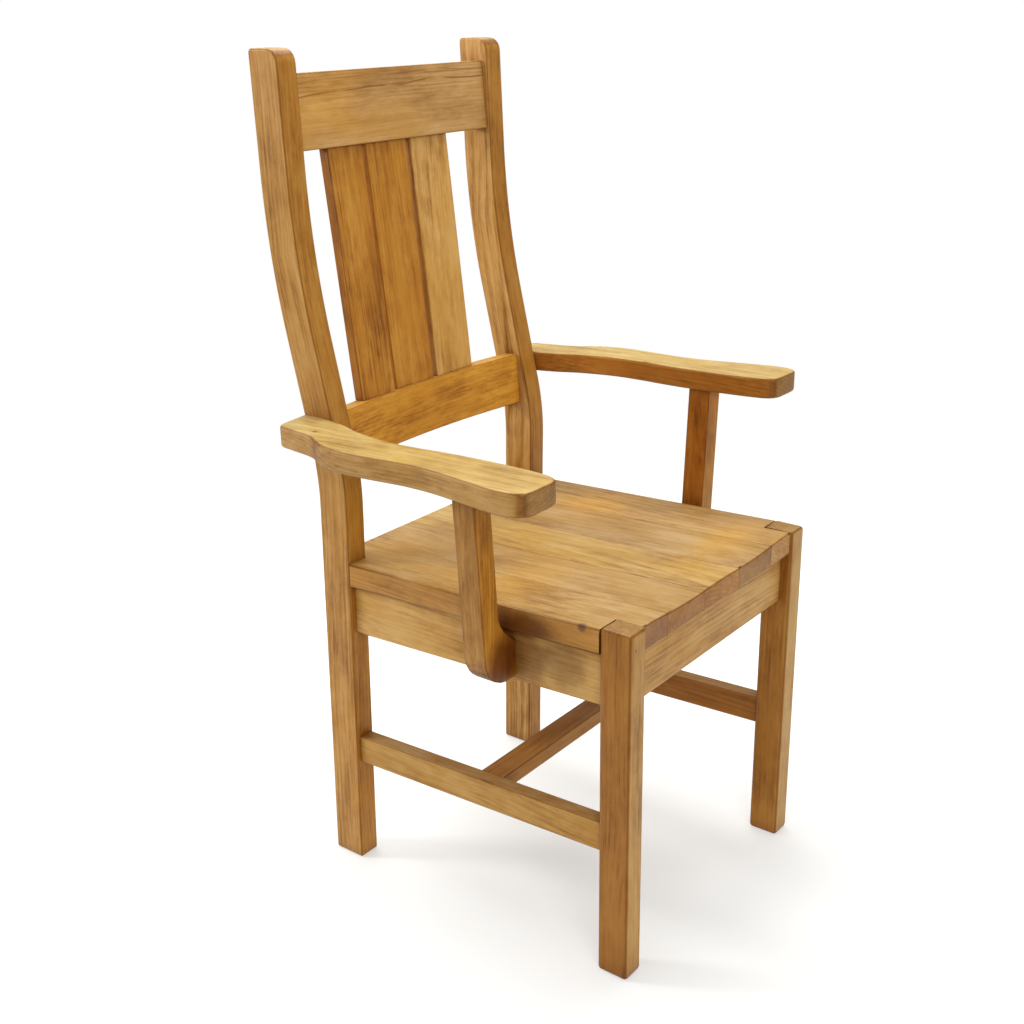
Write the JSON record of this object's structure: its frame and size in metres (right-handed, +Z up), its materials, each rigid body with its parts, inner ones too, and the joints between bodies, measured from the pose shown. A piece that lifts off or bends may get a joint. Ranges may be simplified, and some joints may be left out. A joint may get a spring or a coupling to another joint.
{
  "type": "wooden armchair",
  "caption": "Wooden armchair with a tall slatted back, a dished solid seat, sculpted flat arms and an H stretcher.",
  "frame": {"origin": "floor level, under the middle of the chair", "axes": "+Z up, -Y is the way the sitter faces, +X is to the left of the sitter"},
  "size_m": [0.623, 0.5414, 1.067],
  "materials": {
    "frame_wood": "satin oil, brown honey, long straight grain",
    "back_wood": "satin oil, deeper amber, a few dark streaks",
    "seat_wood": "satin oil, golden, glued boards with end grain at the front",
    "arm_wood": "satin oil, light golden",
    "hidden_wood": "bare, unfinished",
    "screw_steel": "plated"
  },
  "bodies": {
    "root": {"left_front_leg": "frame_wood", "left_rear_post": "frame_wood", "left_side_apron": "frame_wood", "left_side_stretcher": "frame_wood", "left_arm": "arm_wood", "left_arm_post": "frame_wood", "left_arm_dowel_1": "hidden_wood", "left_arm_dowel_2": "hidden_wood", "left_arm_post_screw_lower": "screw_steel", "left_arm_post_screw_upper": "screw_steel", "left_front_corner_block": "hidden_wood", "left_front_seat_screw": "screw_steel", "left_rear_corner_block": "hidden_wood", "left_rear_seat_screw": "screw_steel", "right_front_leg": "frame_wood", "right_rear_post": "frame_wood", "right_side_apron": "frame_wood", "right_side_stretcher": "frame_wood", "right_arm": "arm_wood", "right_arm_post": "frame_wood", "right_arm_dowel_1": "hidden_wood", "right_arm_dowel_2": "hidden_wood", "right_arm_post_screw_lower": "screw_steel", "right_arm_post_screw_upper": "screw_steel", "right_front_corner_block": "hidden_wood", "right_front_seat_screw": "screw_steel", "right_rear_corner_block": "hidden_wood", "right_rear_seat_screw": "screw_steel", "front_apron": "frame_wood", "rear_apron": "frame_wood", "cross_stretcher": "frame_wood", "seat_board_1": "seat_wood", "seat_board_2": "seat_wood", "seat_board_3": "seat_wood", "seat_board_4": "seat_wood", "seat_board_5": "seat_wood", "crest_rail": "back_wood", "lower_back_rail": "back_wood", "back_slat_1": "back_wood", "back_slat_2": "back_wood", "back_slat_3": "back_wood"}
  },
  "joints": []
}
